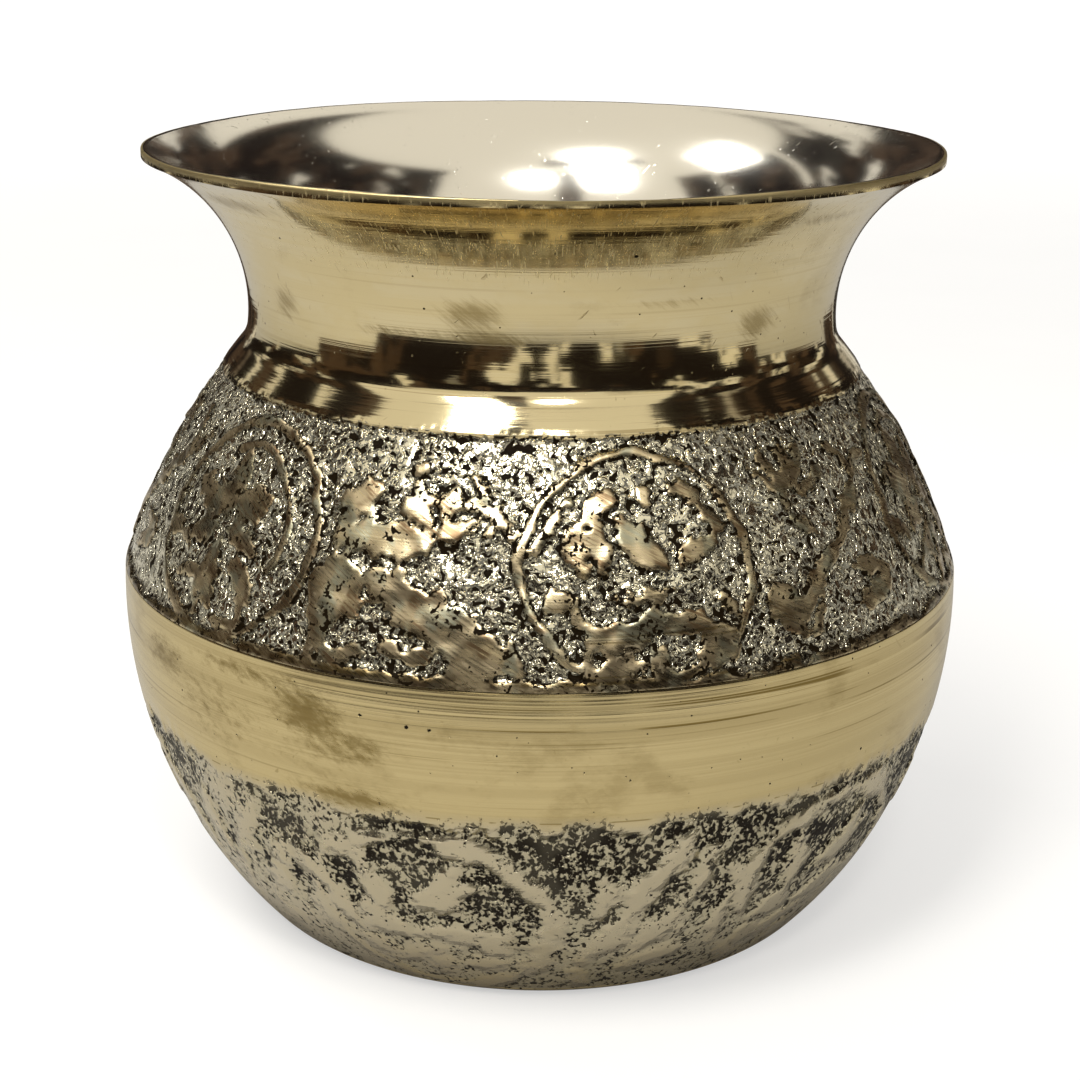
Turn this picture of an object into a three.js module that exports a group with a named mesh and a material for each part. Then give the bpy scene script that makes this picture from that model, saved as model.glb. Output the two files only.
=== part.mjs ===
// A brass kalash: a round-bellied pot with an etched shoulder, a plain turned belly band, an etched bowl
// and a wide flared mouth. It is built from three spun shells. The neck's spigot passes down through the
// bore of the shoulder, and the bowl's tapered spigot is tucked up inside the shoulder's skirt. A ring of
// brazing metal fills each lap and leaves a fillet inside the pot.
// Sizes are in millimetres. +Z is up, and the origin is the centre of the face that the pot stands on.
import * as THREE from "three";

// Overall form, measured on the outer surface
const HEIGHT = 91; // base to the top of the lip
const BELLY_RADIUS = 50; // at the ridge, where shoulder and bowl meet
const RIDGE_HEIGHT = 42.4;
const BELLY_ARC_RADIUS = 57; // the curve of the bowl's side
const BELLY_ARC_HEIGHT = 38.5; // the level where the bowl's side stands upright
const BASE_CORNER_RADIUS = 3.8;
const SHOULDER_BULGE = 1.5; // how far the shoulder bows out from a straight cone
const NECK_RADIUS = 34.5; // at the neck's narrowest level
const NECK_HEIGHT = 72.7;
const CREASE_HEIGHT = 69.1; // where neck and shoulder meet
const LIP_RADIUS = 45.9;
const LIP_LAND = 1.0; // the height of the turned edge round the lip

// Sheet and surface
const WALL = 1.2;
const ETCH_DEPTH = 0.3;
const COLLAR_HEIGHT = 65.4; // the lower edge of the shoulder's polished collar
const SKIRT_BORDER = 1.2; // plain strip between the shoulder's etching and the ridge
const BAND_HEIGHT = 27; // the lower edge of the turned belly band
const ETCH_FOOT_HEIGHT = 5; // where the bowl's etching ends above the base

// The underside of the base: a flat ring to stand on, round a shallow dish
const DISH_RADIUS = 24;
const DISH_DEPTH = 0.6;
const DISH_SLOPE_WIDTH = 2;

// Brazed laps
const BRAZE_GAP = 0.3;
const NECK_SEAT_WIDTH = 0.6; // the step of the neck that rests on the shoulder's top edge
const NECK_SPIGOT_LENGTH = 4;
const BOWL_SPIGOT_LENGTH = 4;
const FILLET_LEG = 1.5;

// Fineness of the round forms
const SIDES = 64;
const NECK_STEPS = 10;
const SHOULDER_STEPS = 6;
const BOWL_STEPS = 8;
const CORNER_STEPS = 4;

// Points of a profile are Vector2: x is the radius from the pot's axis, y is the height.
const point = (radius, height) => new THREE.Vector2(radius, height);

// A circle in the profile plane, with the points and stretches that the shells need of it.
class ProfileCircle {
  constructor(centre, radius) {
    this.centre = centre;
    this.radius = radius;
  }

  // The concentric circle further out by the given distance, or further in if it is negative
  offset(distance) {
    return new ProfileCircle(this.centre, this.radius + distance);
  }

  // Where the circle crosses a level, on its right side or on its left side
  atHeight(height, side = 1) {
    const rise = height - this.centre.y;
    return point(this.centre.x + side * Math.sqrt(this.radius ** 2 - rise ** 2), height);
  }

  // Where the upper half of the circle crosses a radius from the pot's axis
  atRadius(radius) {
    const reach = radius - this.centre.x;
    return point(radius, this.centre.y + Math.sqrt(this.radius ** 2 - reach ** 2));
  }

  angleOf(p) {
    return Math.atan2(p.y - this.centre.y, p.x - this.centre.x);
  }

  at(angle) {
    return point(
      this.centre.x + this.radius * Math.cos(angle),
      this.centre.y + this.radius * Math.sin(angle),
    );
  }

  // Points along the circle from the direction of one point to that of another, the short way round
  stretch(from, to, steps) {
    const start = this.angleOf(from);
    let turn = this.angleOf(to) - start;
    if (turn > Math.PI) turn -= 2 * Math.PI;
    if (turn < -Math.PI) turn += 2 * Math.PI;
    return Array.from({ length: steps + 1 }, (_, i) => this.at(start + (turn * i) / steps));
  }
}

// The circle through two points that bows outwards from the line between them
function bowedCircle(low, high, bulge) {
  const chord = high.clone().sub(low);
  const radius = (chord.length() ** 2 / 4 + bulge ** 2) / (2 * bulge);
  const outward = point(chord.y, -chord.x).normalize();
  const middle = low.clone().add(high).multiplyScalar(0.5);
  return new ProfileCircle(middle.addScaledVector(outward, bulge - radius), radius);
}

// A solid of revolution about the Z axis. A profile that doesn't touch the axis is closed on itself.
function lathe(profile) {
  const area = THREE.ShapeUtils.area(profile);
  const upright = area > 0 ? profile : [...profile].reverse();
  const onAxis = upright.some((p) => p.x === 0);
  const loop = onAxis ? fromAxisToAxis(upright) : [...upright, upright[0].clone()];
  const geometry = new THREE.LatheGeometry(loop, SIDES);
  geometry.rotateX(Math.PI / 2);
  return geometry;
}

// The same loop of points, started just after its edge along the axis
function fromAxisToAxis(loop) {
  const start = loop.findIndex((p, i) => p.x === 0 && loop[(i + loop.length - 1) % loop.length].x === 0);
  return [...loop.slice(start), ...loop.slice(0, start)];
}

function piece(name, profile, material) {
  const mesh = new THREE.Mesh(lathe(profile), material);
  mesh.name = name;
  return mesh;
}

// The outer form's circles and corners, which all three shells share

const ridge = point(BELLY_RADIUS, RIDGE_HEIGHT);

const lipLandFoot = point(LIP_RADIUS, HEIGHT - LIP_LAND);
const neckRise = lipLandFoot.y - NECK_HEIGHT;
const neckFlare = LIP_RADIUS - NECK_RADIUS;
const neckArcRadius = (neckRise ** 2 + neckFlare ** 2) / (2 * neckFlare);
const neckCircle = new ProfileCircle(point(NECK_RADIUS + neckArcRadius, NECK_HEIGHT), neckArcRadius);
const crease = neckCircle.atHeight(CREASE_HEIGHT, -1);

const shoulderCircle = bowedCircle(ridge, crease, SHOULDER_BULGE);
const shoulderInside = shoulderCircle.offset(-WALL);

const bellyReach = Math.sqrt(BELLY_ARC_RADIUS ** 2 - (RIDGE_HEIGHT - BELLY_ARC_HEIGHT) ** 2);
const bellyCircle = new ProfileCircle(point(BELLY_RADIUS - bellyReach, BELLY_ARC_HEIGHT), BELLY_ARC_RADIUS);
const cornerReach = Math.sqrt(
  (BELLY_ARC_RADIUS - BASE_CORNER_RADIUS) ** 2 - (BELLY_ARC_HEIGHT - BASE_CORNER_RADIUS) ** 2,
);
const cornerCircle = new ProfileCircle(
  point(bellyCircle.centre.x + cornerReach, BASE_CORNER_RADIUS),
  BASE_CORNER_RADIUS,
);
const cornerFoot = point(cornerCircle.centre.x, 0);
const cornerTop = bellyCircle.at(bellyCircle.angleOf(cornerCircle.centre));

// The lap between neck and shoulder
const neckBore = crease.x - NECK_SEAT_WIDTH;
const neckBoreFoot = shoulderInside.atRadius(neckBore);
const neckSpigotRadius = neckBore - BRAZE_GAP;
const neckFilletTip = shoulderInside.at(shoulderInside.angleOf(neckBoreFoot) - FILLET_LEG / shoulderInside.radius);

// The lap between bowl and shoulder
const skirtFoot = shoulderInside.atHeight(RIDGE_HEIGHT);
const lapTop = shoulderInside.atHeight(RIDGE_HEIGHT + BOWL_SPIGOT_LENGTH);
const bowlSpigotFoot = point(skirtFoot.x - BRAZE_GAP, skirtFoot.y);
const bowlSpigotTop = point(lapTop.x - BRAZE_GAP, lapTop.y);
const bellyFilletTip = shoulderInside.at(shoulderInside.angleOf(lapTop) + FILLET_LEG / shoulderInside.radius);

// The flared mouth and neck, down to the spigot that passes through the shoulder
function mouthNeckProfile() {
  const inside = neckCircle.offset(WALL);
  const spigotFoot = CREASE_HEIGHT - NECK_SPIGOT_LENGTH;
  const spigotInside = neckSpigotRadius - WALL;
  return [
    point(neckSpigotRadius, spigotFoot),
    point(neckSpigotRadius, CREASE_HEIGHT),
    ...neckCircle.stretch(crease, lipLandFoot, NECK_STEPS),
    point(LIP_RADIUS, HEIGHT),
    ...inside.stretch(inside.atHeight(HEIGHT, -1), inside.atHeight(CREASE_HEIGHT + WALL, -1), NECK_STEPS),
    point(spigotInside, CREASE_HEIGHT - WALL / 2),
    point(spigotInside, spigotFoot),
  ];
}

// The shoulder: a polished collar, the etched ground set back from it, and a plain border at the skirt
function shoulderShellProfile() {
  const ground = shoulderCircle.offset(-ETCH_DEPTH);
  const collarFoot = shoulderCircle.atHeight(COLLAR_HEIGHT);
  const borderTop = shoulderCircle.atHeight(RIDGE_HEIGHT + SKIRT_BORDER);
  return [
    ridge.clone(),
    borderTop,
    ...ground.stretch(borderTop, collarFoot, SHOULDER_STEPS),
    collarFoot,
    crease.clone(),
    point(neckBore, CREASE_HEIGHT),
    neckBoreFoot.clone(),
    ...shoulderInside.stretch(neckFilletTip, bellyFilletTip, SHOULDER_STEPS),
    lapTop.clone(),
    skirtFoot.clone(),
  ];
}

// The bowl: dished base, etched side, turned belly band, and the tapered spigot inside the skirt
function bellyBowlProfile() {
  const ground = bellyCircle.offset(-ETCH_DEPTH);
  const inside = bellyCircle.offset(-WALL);
  const etchFoot = bellyCircle.atHeight(ETCH_FOOT_HEIGHT);
  const bandFoot = bellyCircle.atHeight(BAND_HEIGHT);
  const dishEdge = DISH_RADIUS + DISH_SLOPE_WIDTH;
  const joggleFoot = inside.atHeight(RIDGE_HEIGHT - WALL);
  return [
    point(0, DISH_DEPTH),
    point(DISH_RADIUS, DISH_DEPTH),
    point(dishEdge, 0),
    ...cornerCircle.stretch(cornerFoot, cornerTop, CORNER_STEPS),
    etchFoot,
    ...ground.stretch(etchFoot, bandFoot, BOWL_STEPS),
    ...bellyCircle.stretch(bandFoot, ridge, SHOULDER_STEPS),
    bowlSpigotFoot.clone(),
    bowlSpigotTop.clone(),
    point(bowlSpigotTop.x - WALL, bowlSpigotTop.y),
    point(bowlSpigotFoot.x - WALL, bowlSpigotFoot.y),
    ...inside.stretch(joggleFoot, cornerTop, BOWL_STEPS),
    ...cornerCircle.offset(-WALL).stretch(cornerTop, cornerFoot, CORNER_STEPS).slice(1),
    point(dishEdge, WALL),
    point(DISH_RADIUS, WALL + DISH_DEPTH),
    point(0, WALL + DISH_DEPTH),
  ];
}

// Brazing metal in the bore of the shoulder, with its fillet under the shoulder
function neckBrazeProfile() {
  return [
    point(neckSpigotRadius, neckBoreFoot.y - FILLET_LEG),
    neckFilletTip.clone(),
    neckBoreFoot.clone(),
    point(neckBore, CREASE_HEIGHT),
    point(neckSpigotRadius, CREASE_HEIGHT),
  ];
}

// Brazing metal in the tapered lap, with its fillet on the end of the bowl's spigot
function bellyBrazeProfile() {
  return [
    bowlSpigotFoot.clone(),
    skirtFoot.clone(),
    lapTop.clone(),
    bellyFilletTip.clone(),
    point(bowlSpigotTop.x - WALL / 2, bowlSpigotTop.y),
    bowlSpigotTop.clone(),
  ];
}

const polishedBrass = new THREE.MeshStandardMaterial({ color: 0xd6c08a, roughness: 0.18, metalness: 1 });
const etchedBrass = new THREE.MeshStandardMaterial({ color: 0x8f8468, roughness: 0.42, metalness: 1 });
const turnedBrass = new THREE.MeshStandardMaterial({ color: 0xc4ac74, roughness: 0.32, metalness: 1 });
const brazingMetal = new THREE.MeshStandardMaterial({ color: 0xb59a55, roughness: 0.5, metalness: 1 });

const kalash = new THREE.Group();
kalash.add(
  piece("mouth_neck", mouthNeckProfile(), polishedBrass),
  piece("shoulder_shell", shoulderShellProfile(), etchedBrass),
  piece("belly_bowl", bellyBowlProfile(), turnedBrass),
  piece("neck_braze", neckBrazeProfile(), brazingMetal),
  piece("belly_braze", bellyBrazeProfile(), brazingMetal),
);

export default kalash;
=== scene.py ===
# A small brass kalash: a spun neck with a flared mouth, an etched shoulder with a polished collar, and an
# etched bowl with a turned belly band. Each shell is spun from its section, and its ornament is raised from
# a stippled ground. Lengths are in metres, +Z is up, and the pot stands on the floor at the origin.
import math

import bpy
import numpy as np
from bpy.props import FloatProperty, FloatVectorProperty, IntProperty, PointerProperty
from mathutils import Matrix, Vector, noise


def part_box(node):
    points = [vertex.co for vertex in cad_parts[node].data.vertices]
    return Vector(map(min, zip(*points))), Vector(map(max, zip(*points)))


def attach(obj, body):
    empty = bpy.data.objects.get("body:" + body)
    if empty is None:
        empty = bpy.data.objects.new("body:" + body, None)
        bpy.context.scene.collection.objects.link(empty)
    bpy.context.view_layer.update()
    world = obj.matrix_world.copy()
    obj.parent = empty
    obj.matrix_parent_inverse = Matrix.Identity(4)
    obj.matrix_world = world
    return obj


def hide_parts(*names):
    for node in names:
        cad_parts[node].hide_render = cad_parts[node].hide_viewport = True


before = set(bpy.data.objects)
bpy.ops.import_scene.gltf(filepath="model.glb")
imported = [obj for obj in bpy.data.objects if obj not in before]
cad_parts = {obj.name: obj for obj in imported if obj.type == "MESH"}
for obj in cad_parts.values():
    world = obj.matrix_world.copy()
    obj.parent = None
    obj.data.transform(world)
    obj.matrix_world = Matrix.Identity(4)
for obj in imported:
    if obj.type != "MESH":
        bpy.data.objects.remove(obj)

bl_info = {
    "name": "Brass Kalash",
    "version": (1, 0, 0),
    "blender": (4, 5, 0),
    "location": "View3D > Sidebar > Kalash",
    "description": "Makes a small spun and etched brass kalash and the studio that it stands in",
    "category": "Add Mesh",
}

MM = 0.001
BODY = "root"

# Corners of the construction that the shells keep to
NECK_LOW, NECK_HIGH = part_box("mouth_neck")
SHOULDER_LOW, SHOULDER_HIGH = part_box("shoulder_shell")
_, BOWL_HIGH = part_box("belly_bowl")


# Sizes and colours that a user would change

def length(name, description, millimetres):
    return FloatProperty(
        name=name, description=description, default=millimetres * MM, min=0.0, precision=5,
        subtype="DISTANCE",
    )


def colour(name, description, red, green, blue):
    return FloatVectorProperty(
        name=name, description=description, default=(red, green, blue), min=0.0, max=1.0, size=3,
        subtype="COLOR",
    )


def strength(name, description, default):
    return FloatProperty(name=name, description=description, default=default, min=0.0)


class KalashSizes(bpy.types.PropertyGroup):
    neck_radius: length("Neck radius", "Radius of the neck at its narrowest level", 34.5)
    neck_height: length("Neck height", "Level at which the neck is narrowest", 72.7)
    lip_land: length("Lip land", "Height of the turned edge round the lip", 1.0)
    shoulder_bulge: length("Shoulder bulge", "How far the shoulder bows out from a cone", 1.5)
    collar_height: length("Collar height", "Level of the polished collar's lower edge", 65.4)
    skirt_border: length("Skirt border", "Height of the plain strip above the ridge", 1.2)
    belly_radius: length("Belly arc", "Radius of the arc of the bowl's side", 57.0)
    belly_height: length("Belly height", "Level at which the bowl's side stands upright", 38.5)
    band_height: length("Band height", "Level of the turned band's lower edge", 27.0)
    corner_radius: length("Base corner", "Radius of the corner round the base", 3.8)
    wall: length("Wall", "Thickness of the sheet brass", 1.2)
    etch_depth: length("Etch depth", "Depth of the stippled ground under the ornament", 0.3)
    grain_depth: length("Grain depth", "Height of the grains on the stippled ground", 0.22)
    columns: IntProperty(name="Columns", description="Number of faces round each shell", default=940, min=64)


class KalashFinish(bpy.types.PropertyGroup):
    polished: colour("Polished brass", "The buffed neck and collar", 0.80, 0.68, 0.41)
    turned: colour("Turned brass", "The satin band round the belly", 0.76, 0.62, 0.32)
    etched: colour("Etched brass", "The grains of the stippled ground", 0.94, 0.88, 0.67)
    bowl: colour("Bowl brass", "The greyer brass below the band", 0.68, 0.60, 0.42)
    lining: colour("Tinned lining", "The pale lining inside the pot", 0.90, 0.85, 0.74)
    oxide: colour("Oxide", "The black left in the pits by the acid", 0.010, 0.006, 0.002)
    worn: colour("Worn brass", "Satin film on the raised forms", 0.62, 0.50, 0.31)
    dulled: colour("Dulled brass", "Grey green film on some of the raised forms", 0.46, 0.44, 0.31)
    # The tarnish colour also paints the shade that darkens the bowl towards its base
    tarnish: colour("Tarnish", "Olive brown film where the brass has been handled", 0.27, 0.19, 0.06)
    umber: colour("Umber", "Brown film on some of the raised forms", 0.24, 0.16, 0.085)
    # Painted dark reflection: the dark brown laid along the ridge stands for the dark that the plain strip
    # reflects
    ridge_dark_reflection: colour("Stain", "Dark brown along the ridge", 0.10, 0.065, 0.03)
    braze: colour("Brazing metal", "The dull ring of filler in the laps", 0.55, 0.42, 0.20)


class KalashStudio(bpy.types.PropertyGroup):
    floor: colour("Floor", "The pale floor", 0.50, 0.485, 0.455)
    sky: colour("Sky", "The pale room that the brass reflects", 0.78, 0.74, 0.65)
    card_dark: colour("Dark card", "Darkest tone of the cards round the pot", 0.012, 0.009, 0.008)
    card_brown: colour("Brown card", "Middle tone of the cards round the pot", 0.07, 0.045, 0.03)
    lamp: strength("Lamp", "Power of the main lamp in watts", 3.6)
    ambient: strength("Ambient", "Strength of the light from all round", 0.6)
    glow: strength("Floor glow", "Light added to the floor for the camera", 0.52)


# Sections of the shells, as lists of (radius, height)

class Arc:
    """A circle in the section plane, with its centre and radius."""

    def __init__(self, centre, radius):
        self.centre = centre
        self.radius = radius

    def offset(self, distance):
        return Arc(self.centre, self.radius + distance)

    def at_height(self, height, side=1):
        rise = height - self.centre[1]
        return (self.centre[0] + side * math.sqrt(self.radius ** 2 - rise ** 2), height)

    def at_radius(self, radius):
        reach = radius - self.centre[0]
        return (radius, self.centre[1] + math.sqrt(self.radius ** 2 - reach ** 2))

    def angle(self, point):
        return math.atan2(point[1] - self.centre[1], point[0] - self.centre[0])

    def distance(self, radius, height):
        return np.hypot(radius - self.centre[0], height - self.centre[1])

    def run(self, start, radius, height):
        """Millimetres along the circle, from the direction of a point."""
        turn = np.arctan2(height - self.centre[1], radius - self.centre[0]) - self.angle(start)
        return turn * self.radius / MM

    def at(self, angle):
        across, up = self.centre
        return (across + self.radius * math.cos(angle), up + self.radius * math.sin(angle))

    def stretch(self, start, end, steps):
        """Points from the direction of one point to that of another, the short way round."""
        first = self.angle(start)
        turn = (self.angle(end) - first + math.pi) % (2 * math.pi) - math.pi
        return [self.at(first + turn * i / steps) for i in range(steps + 1)]


def rounded_corner(before, corner, after, radius, steps=3):
    """Points round a corner of a section, cut back by the given radius along both of its sides."""
    towards = [Vector(p) - Vector(corner) for p in (before, after)]
    start, end = (Vector(corner) + t.normalized() * radius for t in towards)
    points = []
    for i in range(steps + 1):
        t = i / steps
        bend = start * (1 - t) ** 2 + Vector(corner) * 2 * t * (1 - t) + end * t ** 2
        points.append(tuple(bend))
    return points


def hollow(start, corner, end, steps=6):
    """Points of a hollow fillet from one wall to the other, drawn towards the corner between them."""
    points = []
    for i in range(steps + 1):
        t = i / steps
        points.append(tuple((a * (1 - t) + c * t) * (1 - t) + (c * (1 - t) + b * t) * t
                            for a, c, b in zip(start, corner, end)))
    return points


class Form:
    """The arcs and corners that the three shells share."""

    def __init__(self, sizes):
        self.lip_radius = NECK_HIGH.x
        self.top = NECK_HIGH.z
        self.ridge = (SHOULDER_HIGH.x, SHOULDER_LOW.z)
        self.crease_height = SHOULDER_HIGH.z
        self.lip_foot = (self.lip_radius, self.top - sizes.lip_land)

        rise = self.lip_foot[1] - sizes.neck_height
        flare = self.lip_radius - sizes.neck_radius
        neck_arc = (rise ** 2 + flare ** 2) / (2 * flare)
        self.neck = Arc((sizes.neck_radius + neck_arc, sizes.neck_height), neck_arc)
        self.crease = self.neck.at_height(self.crease_height, -1)

        low, high = Vector(self.ridge), Vector(self.crease)
        chord = high - low
        shoulder_arc = (chord.length ** 2 / 4 + sizes.shoulder_bulge ** 2) / (2 * sizes.shoulder_bulge)
        outward = Vector((chord.y, -chord.x)).normalized()
        centre = (low + high) / 2 + outward * (sizes.shoulder_bulge - shoulder_arc)
        self.shoulder = Arc(tuple(centre), shoulder_arc)

        self.crease_top = self.neck.at_height(self.crease_height + CREASE_FILLET, -1)
        self.crease_low = self.shoulder.at(self.shoulder.angle(self.crease) - CREASE_FILLET / shoulder_arc)
        self.crease_fillet = hollow(self.crease_low, self.crease, self.crease_top, 8)

        reach = math.sqrt(sizes.belly_radius ** 2 - (self.ridge[1] - sizes.belly_height) ** 2)
        self.belly = Arc((self.ridge[0] - reach, sizes.belly_height), sizes.belly_radius)
        corner = sizes.corner_radius
        corner_reach = math.sqrt((sizes.belly_radius - corner) ** 2 - (sizes.belly_height - corner) ** 2)
        self.corner = Arc((self.belly.centre[0] + corner_reach, corner), corner)
        self.corner_foot = (self.corner.centre[0], 0.0)
        self.corner_top = self.belly.at(self.belly.angle(self.corner.centre))


# Details of the laps, edges and base
SEAT_WIDTH = 0.6 * MM
BRAZE_GAP = 0.3 * MM
SPIGOT_LENGTH = 4.0 * MM
EDGE_BREAK = 0.15 * MM
LIP_BREAK = 0.22 * MM
CREASE_FILLET = 1.3 * MM
DISH_RADIUS = 24 * MM
DISH_EDGE = 26 * MM
DISH_DEPTH = 0.6 * MM
FILLET = 1.5 * MM

# How the shells are made: the columns of the braze rings, the distance at which points are welded, the angle
# of a hard edge in degrees, a height too small to matter, and the share of a wall that counts as its outside
BRAZE_COLUMNS = 256
WELD_DISTANCE = 0.004 * MM
HARD_EDGE = 35
NOTHING = 0.001 * MM
OUTER_SHARE = 0.3

# The lip: how far below its top the turned land and the dents begin and are whole, and the depths of its
# dents and of its sway
LAND_BLEND = (0.75 * MM, 0.4 * MM)
DENT_BLEND = (0.5 * MM, 0.1 * MM)
LIP_DENTS = 0.06 * MM
LIP_SWAY = 0.5 * MM

# Depths that go with the sizes: the shoulder's waves by its grains, and the bowl's etch by the shoulder's
WAVE_SHARE = 2.1
BOWL_ETCH_SHARE = 0.8

# Textures that move the surface: the size of their waves, and how many finer waves they have
CLOUDS = {
    "lip_dents": (3 * MM, 1),
    "lip_sway": (30 * MM, 0),
    "shoulder_grain": (1.3 * MM, 1),
    "shoulder_waves": (3.6 * MM, 1),
    "bowl_grain": (1.0 * MM, 1),
}

# Places in the finish: the groove over the band's lower edge, the heights between which the glints begin,
# the lean of the shoulder's section, and how far the tool's lines drift on their way round
BAND_GROOVE = 27.7 * MM
GLINT_HEIGHTS = (79 * MM, 83 * MM)
SHOULDER_LEAN = -0.5
LATHE_DRIFT = 0.005


def neck_section(sizes, form):
    """The mouth, lip and neck, down to the spigot inside the shoulder."""
    inside = form.neck.offset(sizes.wall)
    spigot = form.crease[0] - SEAT_WIDTH - BRAZE_GAP
    foot = NECK_LOW.z
    lip_top = (form.lip_radius, form.top)
    inner_lip = inside.at_height(form.top, -1)
    inner_foot = inside.at_height(form.crease_height + sizes.wall, -1)
    return [
        (spigot, foot),
        (spigot, form.crease_height),
        *form.crease_fillet[4:],
        *form.neck.stretch(form.crease_top, form.lip_foot, 40)[1:],
        (form.lip_radius, form.top - 2 * LIP_BREAK),
        *rounded_corner(form.lip_foot, lip_top, inner_lip, LIP_BREAK),
        *rounded_corner(lip_top, inner_lip, inside.at_height(form.top - sizes.lip_land, -1), LIP_BREAK),
        *inside.stretch(inside.at_height(form.top - sizes.lip_land / 2, -1), inner_foot, 30),
        (spigot - sizes.wall, form.crease_height - sizes.wall / 2),
        (spigot - sizes.wall, foot),
    ]


def shoulder_section(sizes, form):
    """The collar, the etched ground, the plain border, and the inside with its lap for the bowl."""
    inside = form.shoulder.offset(-sizes.wall)
    border_top = form.shoulder.at_height(form.ridge[1] + sizes.skirt_border)
    border_foot = form.shoulder.at_height(form.ridge[1] + 2 * EDGE_BREAK)
    collar_foot = form.shoulder.at_height(sizes.collar_height)
    bore = form.crease[0] - SEAT_WIDTH
    bore_foot = inside.at_radius(bore)
    lap_top = inside.at_height(form.ridge[1] + SPIGOT_LENGTH)
    skirt_foot = inside.at_height(form.ridge[1])
    return [
        *rounded_corner(skirt_foot, form.ridge, border_foot, EDGE_BREAK, 2),
        *form.shoulder.stretch(border_foot, border_top, 3),
        *form.shoulder.stretch(border_top, collar_foot, 78)[1:],
        *form.shoulder.stretch(collar_foot, form.crease_low, 5)[1:],
        *form.crease_fillet[1:5],
        (bore, form.crease_height),
        bore_foot,
        *inside.stretch(bore_foot, lap_top, 8)[1:],
        skirt_foot,
    ]


def bowl_section(sizes, form):
    """The dished base, the etched side, the turned band and the spigot inside the shoulder's skirt."""
    inside = form.belly.offset(-sizes.wall)
    shoulder_inside = form.shoulder.offset(-sizes.wall)
    band_foot = form.belly.at_height(sizes.band_height)
    band_top = form.belly.at_height(form.ridge[1] - 2 * EDGE_BREAK)
    spigot_foot = (shoulder_inside.at_height(form.ridge[1])[0] - BRAZE_GAP, form.ridge[1])
    spigot_top = (shoulder_inside.at_height(BOWL_HIGH.z)[0] - BRAZE_GAP, BOWL_HIGH.z)
    return [
        (0.0, DISH_DEPTH),
        (DISH_RADIUS / 2, DISH_DEPTH),
        (DISH_RADIUS, DISH_DEPTH),
        (DISH_EDGE, 0.0),
        *form.corner.stretch(form.corner_foot, form.corner_top, 7),
        *form.belly.stretch(form.corner_top, band_foot, 78)[1:],
        *form.belly.stretch(band_foot, band_top, 9)[1:],
        *rounded_corner(band_top, form.ridge, spigot_foot, EDGE_BREAK, 2),
        spigot_foot,
        spigot_top,
        (spigot_top[0] - sizes.wall, spigot_top[1]),
        (spigot_foot[0] - sizes.wall, spigot_foot[1]),
        *inside.stretch(inside.at_height(form.ridge[1] - sizes.wall), form.corner_top, 12),
        *form.corner.offset(-sizes.wall).stretch(form.corner_top, form.corner_foot, 3)[1:],
        (DISH_EDGE, sizes.wall),
        (DISH_RADIUS, sizes.wall + DISH_DEPTH),
        (DISH_RADIUS / 2, sizes.wall + DISH_DEPTH),
        (0.0, sizes.wall + DISH_DEPTH),
    ]


def neck_braze_section(sizes, form):
    """Filler in the bore round the neck's spigot, with a hollow fillet under the shoulder."""
    inside = form.shoulder.offset(-sizes.wall)
    bore = form.crease[0] - SEAT_WIDTH
    spigot = bore - BRAZE_GAP
    bore_foot = inside.at_radius(bore)
    tip = inside.at(inside.angle(bore_foot) - FILLET / inside.radius)
    low = (spigot, bore_foot[1] - FILLET)
    inner_corner = (bore, bore_foot[1] - BRAZE_GAP)
    return [
        *hollow(low, inner_corner, tip),
        bore_foot,
        (bore, form.crease_height),
        (spigot, form.crease_height),
    ]


def belly_braze_section(sizes, form):
    """Filler in the tapered lap, with a hollow fillet on the end of the bowl's spigot."""
    inside = form.shoulder.offset(-sizes.wall)
    lap_top = inside.at_height(BOWL_HIGH.z)
    skirt_foot = inside.at_height(form.ridge[1])
    tip = inside.at(inside.angle(lap_top) + FILLET / inside.radius)
    ledge = (lap_top[0] - BRAZE_GAP - sizes.wall / 2, lap_top[1])
    return [
        (skirt_foot[0] - BRAZE_GAP, skirt_foot[1]),
        skirt_foot,
        lap_top,
        *hollow(tip, (lap_top[0] - BRAZE_GAP, lap_top[1] + BRAZE_GAP), ledge),
        (lap_top[0] - BRAZE_GAP, lap_top[1]),
    ]


# Modelling

def deselect_all():
    if bpy.context.object and bpy.context.object.mode != "OBJECT":
        bpy.ops.object.mode_set(mode="OBJECT")
    bpy.ops.object.select_all(action="DESELECT")


def draw_line(name, points):
    """Draws a line from point to point, and leaves it in edit mode."""
    deselect_all()
    bpy.ops.mesh.primitive_plane_add(size=MM, location=(0, 0, 0))
    line = bpy.context.object
    line.name = name
    line.data.name = name
    bpy.ops.object.mode_set(mode="EDIT")
    bpy.ops.mesh.select_all(action="SELECT")
    bpy.ops.mesh.merge(type="CENTER")
    bpy.ops.transform.translate(value=points[0])
    for here, there in zip(points, points[1:]):
        step = [b - a for a, b in zip(here, there)]
        bpy.ops.mesh.extrude_region_move(TRANSFORM_OT_translate={"value": step})
    return line


def close_line(line):
    """Joins the two ends of the line that is being drawn."""
    bpy.ops.mesh.select_all(action="DESELECT")
    bpy.ops.object.mode_set(mode="OBJECT")
    uses = np.zeros(len(line.data.vertices), int)
    for edge in line.data.edges:
        uses[list(edge.vertices)] += 1
    for index in np.flatnonzero(uses == 1):
        line.data.vertices[int(index)].select = True
    bpy.ops.object.mode_set(mode="EDIT")
    bpy.ops.mesh.select_mode(type="VERT")
    bpy.ops.mesh.edge_face_add()


def sweep(line, columns, angle=2 * math.pi):
    """Turns the line that is drawn about the pot's axis into a surface."""
    bpy.ops.object.mode_set(mode="OBJECT")
    modifier = line.modifiers.new("Sweep", "SCREW")
    modifier.axis = "Z"
    modifier.angle = angle
    modifier.steps = columns
    modifier.render_steps = columns
    bpy.ops.object.modifier_apply(modifier=modifier.name)


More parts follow.
